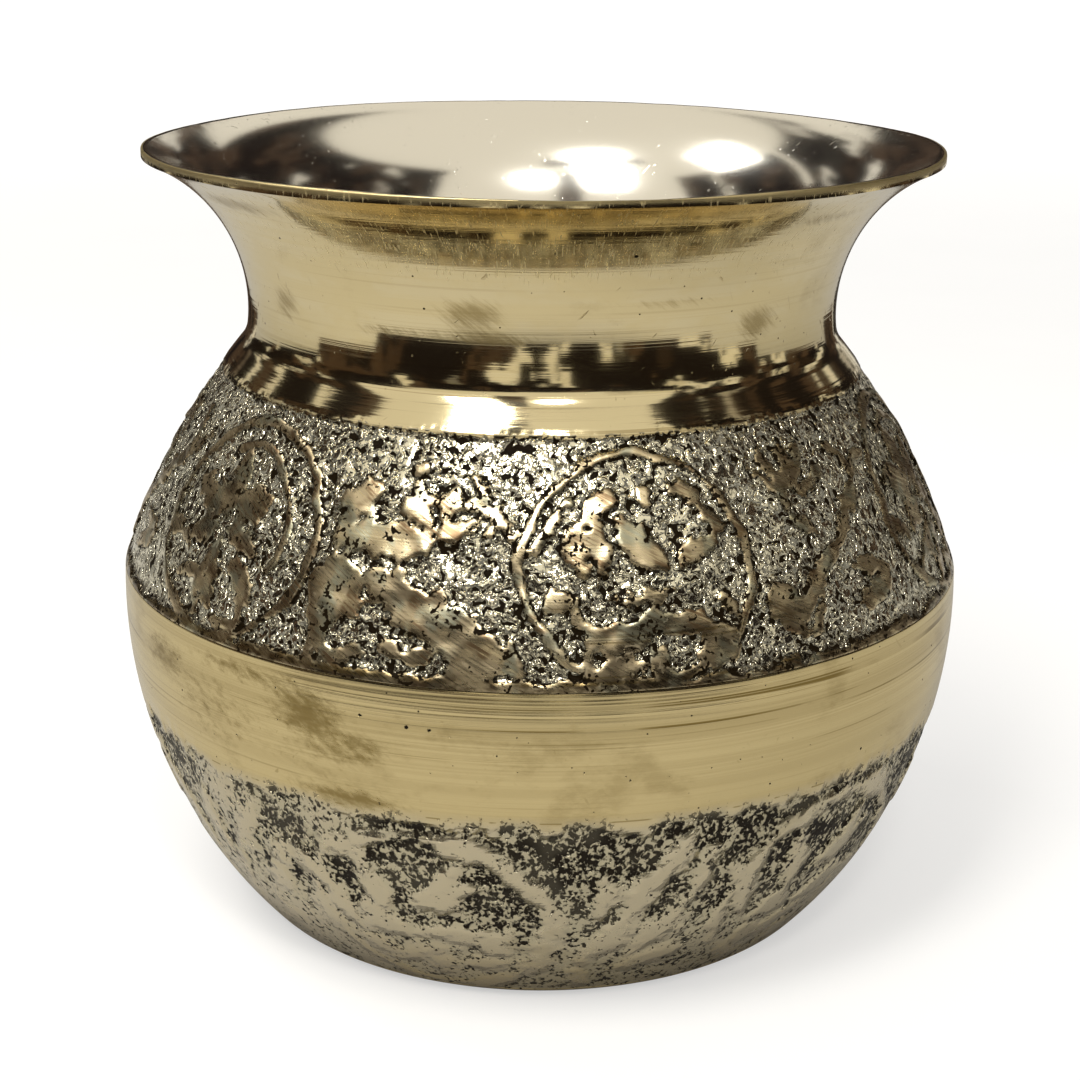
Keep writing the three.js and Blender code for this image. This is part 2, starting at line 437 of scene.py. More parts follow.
def spin_shell(name, section, columns):
    """Draws a section, as (radius, height) points, and spins it into a closed shell."""
    shell = draw_line(name, [(radius, 0, height) for radius, height in section])
    if min(radius for radius, _ in section) > 0:
        close_line(shell)
    sweep(shell, columns)
    bpy.ops.object.mode_set(mode="EDIT")
    bpy.ops.mesh.select_all(action="SELECT")
    bpy.ops.mesh.remove_doubles(threshold=WELD_DISTANCE)
    bpy.ops.mesh.normals_make_consistent(inside=False)
    bpy.ops.object.mode_set(mode="OBJECT")
    bpy.ops.object.shade_smooth_by_angle(angle=math.radians(HARD_EDGE))
    return shell


def vertex_places(shell):
    """Each vertex's azimuth in radians from the front, positive to the right, with its radius and height."""
    co = np.zeros(len(shell.data.vertices) * 3)
    shell.data.vertices.foreach_get("co", co)
    x, y, z = co.reshape(-1, 3).T
    return np.arctan2(x, -y), np.hypot(x, y), z


def add_attributes(shell, **attributes):
    """Stores masks on the vertices, for the materials."""
    for name, values in attributes.items():
        attribute = shell.data.attributes.new(name, "FLOAT", "POINT")
        attribute.data.foreach_set("value", np.asarray(values, np.float32))


def clouds(name):
    texture = bpy.data.textures.new(name, "CLOUDS")
    texture.noise_scale, texture.noise_depth = CLOUDS[name]
    return texture


def displace(shell, name, weights, *moves):
    """Moves the surface along its normals where the weights are high, each time by a depth and a texture."""
    group = shell.vertex_groups.new(name=name)
    for index in np.flatnonzero(weights > 0.002):
        group.add([int(index)], float(weights[index]), "REPLACE")
    for depth, grain in moves:
        modifier = shell.modifiers.new("Relief", "DISPLACE")
        modifier.vertex_group = name
        modifier.strength = depth
        modifier.texture = grain
        modifier.texture_coords = "LOCAL"
        modifier.mid_level = 0.5 if grain else 0.0
        bpy.context.view_layer.objects.active = shell
        bpy.ops.object.modifier_apply(modifier=modifier.name)


def finish_piece(shell, material, node):
    shell.data.materials.clear()
    shell.data.materials.append(material)
    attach(shell, BODY)
    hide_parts(node)
    deselect_all()


# Ornament, as distances in millimetres: negative inside a raised form, positive on the ground

def turned(x, y, degrees, cx, cy):
    """Points in the frame of a form that is centred at (cx, cy) and turned anticlockwise."""
    a = math.radians(degrees)
    return (x - cx) * math.cos(a) + (y - cy) * math.sin(a), (y - cy) * math.cos(a) - (x - cx) * math.sin(a)


def disc(x, y, radius):
    return np.hypot(x, y) - radius


def ring(x, y, radius, width):
    return np.abs(np.hypot(x, y) - radius) - width / 2


def petal(x, y, reach, width):
    """A pointed petal from the origin along +y."""
    half, side = reach / 2, width / 2
    radius = (half ** 2 + side ** 2) / (2 * side)
    return np.hypot(np.abs(x) + radius - side, y - half) - radius


def open_petal(x, y, reach, width, clear):
    """A petal whose foot is cut back to a circle round the origin."""
    return np.maximum(petal(x, y, reach, width), clear - np.hypot(x, y))


def veined(x, y, reach, width):
    """A petal with a cut along its middle."""
    cut = np.maximum(np.abs(x) - 0.2, np.abs(y - reach * 0.45) - reach * 0.3)
    return np.maximum(petal(x, y, reach, width), -cut)


def stroke(x, y, start, end, width, taper=1.0):
    """A straight stroke with round ends, which narrows to taper times its width."""
    dx, dy = end[0] - start[0], end[1] - start[1]
    t = np.clip(((x - start[0]) * dx + (y - start[1]) * dy) / (dx * dx + dy * dy), 0, 1)
    half = width / 2 * (1 + (taper - 1) * t)
    return np.hypot(x - start[0] - t * dx, y - start[1] - t * dy) - half


def comb(x, y):
    """Seven short strokes that hang side by side."""
    forms = []
    for i in range(7):
        left = -5.2 + 1.15 * i
        forms.append(stroke(x, y, (left, -8.6), (left + 0.25, -10.9 - 0.25 * (i % 3)), 0.55))
    return union(*forms)


def slab(x, y):
    """A small block with a sloping top and foot."""
    return np.maximum(np.abs(x - 6.6) - 1.8, np.abs(y + 9.8 + 0.25 * x) - 1.9)


def crescent(x, y, radius, bite, shift):
    """A disc with a bite taken out above it, like a boat."""
    return np.maximum(disc(x, y, radius), -disc(x, y - shift, bite))


def arch(x, y, radius, width, start, end):
    """A bent stroke: the stretch of a ring between two directions in degrees."""
    middle, half = math.radians((start + end) / 2), math.radians((end - start) / 2)
    away = np.abs((np.arctan2(y, x) - middle + math.pi) % (2 * math.pi) - math.pi)
    beyond = np.maximum(away - half, 0) * radius
    return np.hypot(np.hypot(x, y) - radius, beyond) - width / 2


def union(*forms):
    result = forms[0]
    for form in forms[1:]:
        result = np.minimum(result, form)
    return result


def pattern(x, y, forms):
    """Joins forms, given for each shape as rows of its turn in degrees, its place and its sizes."""
    return union(*(
        shape(*turned(x, y, *row[:3]), *row[3:]) for shape, rows in forms.items() for row in rows
    ))


# A bud between leaves, over a crescent with a comb of short strokes under it
LOTUS = {
    petal: (
        (-70, -5.6, 5.4, 4.6, 2.6), (39, 2.8, -0.8, 7.2, 2.8), (-70, 3.8, 0.2, 5.0, 2.4),
        (-84, -2.6, -3.4, 5.0, 1.7), (-100, 1.2, -5.6, 5.4, 2.2), (30, 9.2, -5.8, 3.4, 1.5),
    ),
    veined: ((8, -4.4, -2.0, 7.6, 4.2),),
    arch: ((0, 0, 0, 10.0, 0.9, 138, 168), (0, 0, 0, 9.6, 0.7, 20, 58)),
    crescent: ((0, -3.0, -5.2, 3.9, 3.5, 2.2),),
    disc: ((0, 7.0, -8.8, 1.9), (0, 1.2, 7.6, 0.9), (0, -8.4, -3.4, 1.1)),
    comb: ((0, 0, 0),),
}
LOTUS_LINES = {
    ring: ((0, 0, 0, 11.9, 1.0),),
}

# A flower with open petals and a curled stem, inside a second bent line
ROSETTE = {
    open_petal: (
        (70, -1.4, 0.6, 7.6, 3.8, 1.3), (128, -1.4, 0.6, 6.6, 3.0, 1.3), (-60, -1.4, 0.6, 7.4, 4.0, 1.3),
        (-118, -1.4, 0.6, 6.4, 2.8, 1.3), (5, -1.4, 0.6, 7.6, 3.6, 1.3),
    ),
    veined: ((172, -1.2, -2.6, 8.2, 3.2),),
    disc: ((0, -1.4, 0.6, 0.7),),
    petal: ((-140, 1.8, -3.0, 6.4, 2.0), (128, -3.0, -5.0, 4.6, 1.8), (70, -7.6, -3.4, 4.2, 1.8)),
    arch: ((0, 2.6, -8.4, 2.2, 0.9, -160, 60),),
}
ROSETTE_LINES = {
    ring: ((0, 0, 0, 11.9, 1.2),),
    arch: ((0, -0.4, 0.6, 8.3, 1.1, -30, 118),),
}

# Petals and curls between two roundels, with a long leaf that runs down to the ridge on the right
FLOWER_SPRAY = {
    petal: (
        (-58, -9.2, 4.6, 5.8, 2.4), (-84, -5.8, 1.4, 8.0, 4.4), (-132, -1.6, 6.4, 5.4, 2.0),
        (-52, 2.4, 2.0, 4.6, 1.8), (-118, -5.0, -1.6, 18.6, 5.0),
    ),
    veined: ((-18, -7.8, -1.2, 7.4, 4.0),),
    arch: (
        (0, 5.6, 4.6, 2.4, 0.9, -30, 200), (0, 1.4, 8.6, 2.6, 0.8, 150, 330),
        (0, -6.0, -8.4, 2.4, 1.2, 60, 330), (0, 1.2, -7.6, 2.2, 1.3, -150, 130),
    ),
    disc: ((0, -6.9, -3.1, 2.7),),
    slab: ((0, 0, 0),),
    stroke: ((0, 0, 0, (-9.6, -3.6), (-9.0, -11.4), 1.1, 0.7), (0, 0, 0, (6.2, 8.6), (10.4, 2.6), 0.8, 0.6)),
}

# A long thin blade that rises to the right, a pointed leaf and a fan of fine strokes
BLADE_SPRAY = {
    stroke: ((0, 0, 0, (-5.4, -6.2), (10.2, 7.6), 1.6, 0.6),),
    petal: (
        (20, -6.4, -9.8, 7.4, 3.8), (-28, -5.2, -9.6, 3.8, 1.5), (-64, 1.6, -8.6, 6.6, 2.1),
        (-100, 2.6, -4.4, 5.4, 1.8), (40, -2.0, 0.4, 4.6, 1.6),
    ),
    arch: ((0, 2.4, 5.8, 4.8, 0.8, -60, 50), (0, -3.6, 9.6, 2.2, 0.9, 170, 360)),
    open_petal: [(lean, -3.6, 4.6, 5.8, 1.3, 1.4) for lean in (-62, -34, -8, 18, 46)],
}

# A ring of leaves and seeds on the bowl, and the blades beside it
BOWL_ROUNDEL = {
    ring: ((0, 0, 0, 13.2, 1.7),),
    petal: (
        (24, -9.6, -1.6, 11.0, 3.0), (8, -4.4, 0.6, 10.0, 3.4), (-62, -2.0, 2.4, 9.6, 3.8),
        (-20, 2.6, 5.4, 4.6, 1.6), (-86, -0.6, -1.8, 8.4, 2.8), (112, 2.0, -4.6, 9.0, 3.0),
        (-70, 3.2, -8.6, 6.2, 2.4),
    ),
    disc: ((0, -5.4, -1.2, 2.3), (0, 7.6, -2.6, 2.2), (0, 0.6, -9.0, 2.3), (0, -7.0, -7.4, 1.8)),
}
BOWL_BLADES = {
    stroke: ((0, 0, 0, (-5.6, -6.4), (4.0, 13.0), 1.7, 0.9),),
    petal: (
        (4, -4.2, 1.8, 8.4, 2.9), (-34, 0.4, -4.6, 10.5, 2.7), (-66, -2.2, -9.0, 9.0, 2.4),
        (-10, 6.0, 3.4, 5.6, 1.9), (30, -4.4, -13.0, 5.0, 1.8),
    ),
}

# Where the forms stand: the radius and the run up the section at which they are drawn, in millimetres, the
# repeat in degrees, and each pattern's azimuth
UPPER_RADIUS = 43.8
UPPER_MIDDLE = 12.6
UPPER_REPEAT = 120.0
UPPER_ROUNDELS = ((13.0, LOTUS, LOTUS_LINES), (-47.0, ROSETTE, ROSETTE_LINES))
UPPER_SPRAYS = ((-17.0, FLOWER_SPRAY), (43.0, BLADE_SPRAY))
LOWER_RADIUS = 44.0
LOWER_MIDDLE = 13.6
LOWER_REPEAT = 60.0
LOWER_PATTERNS = ((-15.5, BOWL_ROUNDEL), (14.5, BOWL_BLADES))

# Where hands have dulled the brass: azimuth in degrees, height, half-widths in degrees and height, strength
NECK_TOUCHES = (
    (41, 75.4, 5, 1.8, 1.0), (-12, 77.4, 6, 1.8, 0.95), (-8, 74.8, 8, 0.7, 1.0), (-28, 75.0, 8, 0.6, 0.7),
    (-53, 76.0, 4, 2.0, 0.85), (-52, 87.2, 12, 1.0, 0.9), (22, 78.6, 9, 0.6, 0.6),
    (46, 86.8, 10, 0.8, 0.7), (120, 76.0, 12, 3.0, 0.7), (-140, 79.0, 9, 3.5, 0.6),
    (178, 74.0, 14, 1.8, 0.5),
)
BOWL_TOUCHES = (
    (-29, 38.0, 5, 1.9, 0.85), (-21, 34.6, 4.5, 1.1, 1.0), (-23, 28.6, 7, 1.3, 0.95),
    (-27, 34.0, 6, 5.0, 0.4), (-38, 40.8, 8, 0.9, 0.8), (-56, 38.0, 6, 2.4, 0.75),
    (-44, 34.5, 9, 4.5, 0.5), (105, 33.0, 12, 3.0, 0.7), (150, 37.0, 8, 2.6, 0.6),
    (-120, 31.0, 14, 2.2, 0.65), (-165, 39.0, 9, 1.8, 0.6),
)

# Where the bowl is etched more faintly, as above but by the run up from the base
FAINT = (
    (-50, 13.0, 16, 13.0, 0.3), (-46, 26.0, 6, 3.6, 0.6), (-27, 27.0, 5, 2.2, 0.55),
    (75, 8.0, 16, 9.0, 0.15), (-160, 14.0, 20, 9.0, 0.2),
)

# Where the acid has left the grains drawn out down the slope, as for the hands
COMBED = (
    (-58, 52.0, 22, 16.0, 0.9), (57, 56.0, 20, 14.0, 0.85), (28, 62.0, 8, 5.0, 0.7),
    (135, 58.0, 16, 10.0, 0.9), (-150, 50.0, 20, 9.0, 0.9),
)


def repeated(azimuth, centre, period):
    """Degrees from the nearest copy of a form that repeats round the pot."""
    return (azimuth - centre + period / 2) % period - period / 2


def wobble(azimuth, run, size, seed):
    """Noise from -1 to 1 along the surface, in waves of a size in millimetres, different for each seed."""
    x = np.cos(azimuth) * UPPER_RADIUS / size
    y = np.sin(azimuth) * UPPER_RADIUS / size
    z = run / size + seed
    return np.array([noise.noise(point) for point in zip(x, y, z)])


def touches(azimuth, height, spots):
    """How much each point has been touched, as the sum of soft oval spots."""
    degrees = np.degrees(azimuth)
    total = np.zeros(len(azimuth))
    for centre, level, wide, tall, strength in spots:
        across = repeated(degrees, centre, 360) / wide
        up = (height / MM - level) / tall
        total += strength * np.exp(-(across ** 2 + up ** 2))
    return np.minimum(total, 1.0)


def shoulder_ornament(azimuth, run):
    """Distance to the raised forms of the shoulder, from the azimuth and the run up from the ridge."""
    per_degree = math.radians(1) * UPPER_RADIUS
    degrees = np.degrees(azimuth) + wobble(azimuth, run, 4.0, 31.0) * 0.7 / per_degree
    y = run - UPPER_MIDDLE + wobble(azimuth, run, 4.0, 47.0) * 0.7
    forms, lines = [], []
    for centre, inner, outline in UPPER_ROUNDELS:
        x = repeated(degrees, centre, UPPER_REPEAT) * per_degree
        forms.append(pattern(x, y, inner))
        lines.append(pattern(x, y, outline))
    for centre, spray in UPPER_SPRAYS:
        forms.append(pattern(repeated(degrees, centre, UPPER_REPEAT) * per_degree, y, spray))
    fading = np.maximum(wobble(azimuth, run, 6.0, 97.0), 0) * 0.6
    return union(*forms), union(*lines) + fading


def bowl_ornament(azimuth, run):
    """Distance to the raised forms of the bowl, from the azimuth and the run up from the base."""
    degrees = np.degrees(azimuth) + wobble(azimuth, run, 5.0, 61.0) * 1.2
    y = run - LOWER_MIDDLE + wobble(azimuth, run, 5.0, 71.0) * 0.9
    forms = []
    for centre, rows in LOWER_PATTERNS:
        x = repeated(degrees, centre, LOWER_REPEAT) * math.radians(1) * LOWER_RADIUS
        forms.append(pattern(x, y, rows))
    return union(*forms)


def smoothstep(low, high, values):
    """0 at low and 1 at high, whichever of them is the greater."""
    t = np.clip((values - low) / (high - low), 0, 1)
    return t * t * (3 - 2 * t)


# Shader trees

class Value:
    """An output of a node. Arithmetic on it places Math nodes, and | takes the greater of two values."""

    def __init__(self, tree, socket):
        self.tree = tree
        self.socket = socket

    def __add__(self, other):
        return self.tree.math("ADD", self, other)

    def __sub__(self, other):
        return self.tree.math("SUBTRACT", self, other)

    def __rsub__(self, other):
        return self.tree.math("SUBTRACT", other, self)

    def __mul__(self, other):
        return self.tree.math("MULTIPLY", self, other)

    def __truediv__(self, other):
        return self.tree.math("DIVIDE", self, other)

    def __lt__(self, other):
        return self.tree.math("LESS_THAN", self, other)

    def __or__(self, other):
        return self.tree.math("MAXIMUM", self, other)

    def __abs__(self):
        return self.tree.math("ABSOLUTE", self)

    def blend(self, a, b):
        """Goes from one number to another as this mask goes from 0 to 1."""
        return self.tree.blend(self, a, b)

    def ramp(self, low, high, start=0.0, end=1.0):
        """Goes smoothly from start to end while this value goes from low to high."""
        inputs = dict(enumerate((self, low, high, start, end)))
        return self.tree.out("MapRange", inputs, interpolation_type="SMOOTHSTEP")

    def noise(self, size, detail=2.0, roughness=0.5, distortion=0.0, which="Fac"):
        inputs = {"Vector": self, "Scale": 1 / size, "Detail": detail}
        return self.tree.out("TexNoise", {**inputs, "Roughness": roughness, "Distortion": distortion}, which)

    def split(self, kind="XYZ"):
        """The three parts of a vector or of a colour."""
        return [Value(self.tree, part) for part in self.tree.node("Separate" + kind, {0: self}).outputs]

    def cells(self, size, distance="EUCLIDEAN"):
        """The distance to the middle of each cell, and three chances that each cell keeps."""
        found = self.tree.node("TexVoronoi", {"Vector": self, "Scale": 1 / size}, distance=distance).outputs
        return Value(self.tree, found["Distance"]), Value(self.tree, found["Color"]).split("Color")

    def stretched(self, scale, turn=(0, 0, 0)):
        """Turns the axes, and then stretches a texture along those with a scale below 1."""
        inputs = {"Vector": self, "Scale": [1 / share for share in scale]}
        inputs["Rotation"] = [math.radians(angle) for angle in turn]
        return self.tree.out("Mapping", inputs, vector_type="TEXTURE")

    def bump(self, distance, normal=None):
        return self.tree.out("Bump", {"Height": self, "Distance": distance, "Normal": normal})


class Tree:
    """Places and links the nodes of a material or a group, so that a finish reads like a formula."""

    def __init__(self, tree, ends=None):
        self.tree = tree
        self.ends = ends

    def feed(self, socket, value):
        """Links a value to a socket, or sets the socket to a number, a vector or an opaque colour."""
        if isinstance(value, Value):
            self.tree.links.new(value.socket, socket)
        elif value is not None:
            socket.default_value = (*value, 1.0) if socket.type == "RGBA" else value

    def give(self, name, value):
        """Sets an input of the material's shader, or an output of the group."""
        self.feed(self.ends[name], value)

    def node(self, kind, inputs=(), **settings):
        """A new node, with its inputs fed by name or number."""
        node = self.tree.nodes.new("ShaderNode" + kind)
        for key, value in settings.items():
            setattr(node, key, value)
        for key, value in dict(inputs).items():
            self.feed(node.inputs[key], value)
        return node

    def out(self, kind, inputs=(), which=0, **settings):
        """One output of a new node."""
        return Value(self, self.node(kind, inputs, **settings).outputs[which])

    def math(self, operation, a, b=None, clamp=False):
        return self.out("Math", {0: a, 1: b}, operation=operation, use_clamp=clamp)

    def mix(self, factor, a, b):
        """Blends two colours."""
        return self.out("Mix", {0: factor, 6: a, 7: b}, 2, data_type="RGBA")

    def blend(self, factor, a, b):
        """Blends two numbers."""
        return self.out("Mix", {0: factor, 2: a, 3: b}, data_type="FLOAT")

    def coats(self, metal, *coats):
        """Lays colours over a metal, one after another, each with its mask."""
        for mask, tint in coats:
            metal = self.mix(mask, metal, tint)
        return metal

    def place(self):
        return self.out("TexCoord", which="Object")

    def attributes(self, *names):
        return [self.out("Attribute", which="Fac", attribute_name=name) for name in names]

    def group(self, name, **values):
        inputs = {key.capitalize(): value for key, value in values.items()}
        node = self.node("Group", inputs, node_tree=bpy.data.node_groups[name])
        return {socket.name: Value(self, socket) for socket in node.outputs}


def new_group(name, numbers, results):
    """A node group that takes a vector and named numbers. Gives its tree and those inputs."""
    group = bpy.data.node_groups.new(name, "ShaderNodeTree")
    group.interface.new_socket("Vector", in_out="INPUT", socket_type="NodeSocketVector")
    for label, default in numbers.items():
        socket = group.interface.new_socket(label, in_out="INPUT", socket_type="NodeSocketFloat")
        socket.default_value = default
    for label in results:
        group.interface.new_socket(label, in_out="OUTPUT", socket_type="NodeSocketFloat")
    tree = Tree(group, group.nodes.new("NodeGroupOutput").inputs)
    given = group.nodes.new("NodeGroupInput").outputs
    return tree, [Value(tree, given[label]) for label in ("Vector", *numbers)]


def section_coordinate(tree, vector, lean):
    """Height plus a share of the radius, which grows steadily along a section that leans."""
    flat = tree.out("VectorMath", {0: vector, 1: (1, 1, 0)}, operation="MULTIPLY")
    radius = tree.out("VectorMath", {0: flat}, "Value", operation="LENGTH")
    return vector.split()[2] + radius * lean


def unrolled(tree, vector, lean):
    """Flat coordinates on the surface: X runs round the pot and Z up its section."""
    x, y, _ = vector.split()
    turn = tree.math("ARCTAN2", x, y * -1.0)
    along = section_coordinate(tree, vector, lean)
    return tree.out("CombineXYZ", {"X": turn * (UPPER_RADIUS * MM), "Z": along})


def build_lathe_lines():
    """Fine rings left by the turning tool: a height, a mask of the deeper lines, and a soft tone."""
    tree, (vector, lean) = new_group("lathe_lines", {"Lean": 0.0}, ("Height", "Lines", "Tone"))
    x, y, _ = vector.split()
    along = section_coordinate(tree, vector, lean)
    round_pot = tree.out("CombineXYZ", {"X": x * LATHE_DRIFT, "Y": y * LATHE_DRIFT, "Z": along})
    broad = round_pot.noise(2.2 * MM, 1.0)
    coarse = round_pot.noise(0.55 * MM, 1.0)
    fine = round_pot.noise(0.19 * MM, 1.0)
    patches = vector.stretched((1, 1, 3.0)).noise(13 * MM).ramp(0.36, 0.56)
    lines = coarse.ramp(0.36, 0.31) | fine.ramp(0.36, 0.30) * 0.6
    tree.give("Height", coarse + fine * 0.5)
    tree.give("Lines", lines * patches.blend(0.25, 1.0))
    tree.give("Tone", tree.blend(0.35, broad, fine))


def build_handling_tarnish():
    """Brown film in cloudy patches, broken up by finer blotches."""
    tree, (vector, amount) = new_group("handling_tarnish", {"Amount": 0.5}, ("Mask",))
    patches = vector.stretched((1, 1, 1.3)).noise(13 * MM, 2.0, 0.5, 0.6)
    blotches = vector.stretched((1, 1, 2.0)).noise(2.2 * MM, 4.0, 0.7)
    level = patches + (blotches - 0.5) * 0.45
    threshold = 0.84 - amount * 0.4
    tree.give("Mask", (level - threshold).ramp(-0.04, 0.16))


def build_pin_pits():
    """Sparse dark specks, each in its own cell, in two sizes."""
    tree, (vector, share) = new_group("pin_pits", {"Share": 0.1}, ("Mask",))
    uneven = (vector.noise(0.25 * MM, 1.0) - 0.5) * 0.11
    masks = []
    for size, radius in ((2.3 * MM, 0.085), (1.1 * MM, 0.1)):
        distance, (chance, reach, _) = vector.stretched((1, 1, 1.15)).cells(size)
        reach = reach * radius
        spot = (distance + uneven).ramp(reach + 0.03, reach)
        masks.append(spot * (chance < share))
    tree.give("Mask", masks[0] | masks[1])


def build_hairlines():
    """Short fine scratches in a few directions."""
    tree, (vector, amount) = new_group("hairlines", {"Amount": 0.5}, ("Mask",))
    masks = []
    for turn, size in (((12, 38, 20), 0.5), ((-20, -35, 70), 0.62), ((30, 8, -50), 0.45)):
        lines = vector.stretched((1, 1, 0.035), turn).noise(size * MM, 1.0, 0.5, 0.6)
        breaks = vector.stretched((1, 1, 1), turn).noise(6 * MM, 1.0)
        masks.append(lines.ramp(0.72, 0.78) * breaks.ramp(0.5, 0.62))
    tree.give("Mask", (masks[0] | masks[1] | masks[2]) * amount)


def build_stippled_ground():
    """A network of bright grains with sharp black holes in it, on the ground that the acid has eaten."""
    tree, (vector, etch, combing) = new_group(
        "stippled_ground", {"Etch": 1.0, "Combed": 0.0}, ("Pits", "Ground", "Height", "Rim")
    )
    drift = vector.noise(1.2 * MM, which="Color")
    warped = tree.out("VectorMath", {0: drift, 1: (1.1 * MM,) * 3, 2: vector}, operation="MULTIPLY_ADD")
    edge = etch + (vector.noise(0.55 * MM, 2.0, 0.6) - 0.5) * 0.9
    ground = edge.ramp(0.44, 0.56)
    combed = warped.stretched((1, 1, 0.42)).noise(0.85 * MM, 1.0)
    fine = combing.blend(warped.noise(0.74 * MM, 0.9), combed)
    medium = vector.noise(2.4 * MM, 1.0)
    by_form = etch.ramp(0.98, 0.6, 0.0, 0.04)
    level = fine * 0.8 + medium * 0.2 - by_form + combing * 0.02
    grains = combing.blend(warped.noise(0.98 * MM, 0.7), combed)
    crevices = abs(grains - 0.5).ramp(0.028, 0.013)
    crumbs = warped.noise(0.3 * MM, 1.0).ramp(0.35, 0.335)
    pits = level.ramp(0.440, 0.427) | crevices * combing.blend(0.85, 0.7) | crumbs
    stray = level.ramp(0.40, 0.39) * etch.ramp(0.02, 0.3)
    hump = level.ramp(0.45, 0.53, 0.0, 0.7) + level * 0.5 - crevices * 0.3
    tree.give("Pits", pits * ground | stray)
    tree.give("Ground", ground)
    tree.give("Height", ground.blend(1.1, hump))
    # Rim: a band round the foot of each raised form, which the finish darkens: partly oxide left at the
    # step, partly painted shade of the relief
    tree.give("Rim", tree.math("SUBTRACT", 1.0, abs((edge - 0.56) / 0.2), clamp=True))


def build_acid_pits():
    """Black crumbly pits in smooth metal, thick where the etch is strong and stray where it is weak."""
    tree, (vector, etch) = new_group("acid_pits", {"Etch": 1.0}, ("Pits", "Shade", "Height"))
    upright = vector.stretched((1, 1, 0.85))
    small = upright.noise(0.5 * MM, 1.5, 0.6, 0.3)
    medium = upright.noise(1.4 * MM)
    level = small * 0.62 + medium * 0.38
    opening = etch * 0.18 + 0.345
    wide = opening + 0.07
    tree.give("Pits", level.ramp(opening, opening - 0.022))
    tree.give("Shade", level.ramp(wide, wide - 0.1))
    tree.give("Height", level.ramp(opening - 0.04, opening + 0.035))


def shared_groups():
    """Builds the shared node groups, once."""
    if "lathe_lines" not in bpy.data.node_groups:
        for build in (build_lathe_lines, build_handling_tarnish, build_pin_pits, build_hairlines,
                      build_stippled_ground, build_acid_pits):
            build()


def new_material(name):
    """A material of bare brass, with the tree that feeds its shader."""
    material = bpy.data.materials.new(name)
    material.use_nodes = True
    material.node_tree.nodes.clear()
    tree = Tree(material.node_tree)
    shader = tree.node("BsdfPrincipled", {"Metallic": 1.0, "IOR": 1.1})
    tree.ends = shader.inputs
    tree.shader = Value(tree, shader.outputs[0])
    tree.surface = tree.node("OutputMaterial", {"Surface": tree.shader}).inputs["Surface"]
    return material, tree


def shared_marks(tree, place, lean, tarnish, specks):
    """The marks that each shell has: tool lines, tarnish, pin pits and hairlines."""
    return (
        tree.group("lathe_lines", vector=place, lean=lean),
        tree.group("handling_tarnish", vector=place, amount=tarnish)["Mask"],
        tree.group("pin_pits", vector=place, share=specks)["Mask"],
        tree.group("hairlines", vector=place, amount=1.0)["Mask"],
    )


def smudges(tree, place, touched, size, scale, turn):
    """Breaks the patches that have been touched into streaky blotches."""
    blotches = place.stretched(scale, turn).noise(size, 4.0, 0.7)
    return (touched + (blotches - 0.5) * 1.6).ramp(0.2, 1.0) * touched.ramp(0.02, 0.3)


def spun_metal(finish):
    """The buffed neck: bright, with turning rings, fine scratches, specks and a little tarnish."""
    material, tree = new_material("spun_brass")
    place = tree.place()
    flat = unrolled(tree, place, 0.0)
    lining, land, touched = tree.attributes("lining", "land", "touched")
    outside = 1.0 - lining
    lathe, film, pits, hair = shared_marks(tree, place, 1.0, 0.6, 0.16)
    smudged = smudges(tree, flat, touched, 0.7 * MM, (1.4, 1.4, 0.14), (0, -58, 0))
    film = (film * 0.3 | smudged) * outside
    clouded = place.stretched((1, 1, 2.2)).noise(8 * MM, 3.0, 0.6)
    golden = clouded.ramp(0.42, 0.62, 0.0, 0.5) | lathe["Tone"].ramp(0.42, 0.58, 0.45, 0.0)
    specks = pits * outside
    tree.give("Base Color", tree.coats(
        tree.mix(lining, finish.polished, finish.lining),
        (golden * outside, finish.turned),
        (land, finish.turned),
        (film * 0.65, finish.tarnish),
        ((lathe["Lines"] * 0.14 | hair * 0.4) * outside, finish.tarnish),
        (specks, finish.oxide),
    ))
    dashes = flat.stretched((1, 1, 0.22)).noise(0.26 * MM, 1.0)
    glints = dashes.ramp(0.60, 0.68, 0.0, 0.3)
    under_lip = place.split()[2].ramp(*GLINT_HEIGHTS)
    rough = (lining.blend(0.09, 0.14) + film * 0.16) | land * 0.38
    tree.give("Roughness", rough + glints * (outside * under_lip) + hair * 0.1)
    rings = (lathe["Height"] * outside).bump(0.011 * MM)
    tree.give("Normal", ((specks | hair * 0.3) * -1.0).bump(0.05 * MM, rings))
    return material


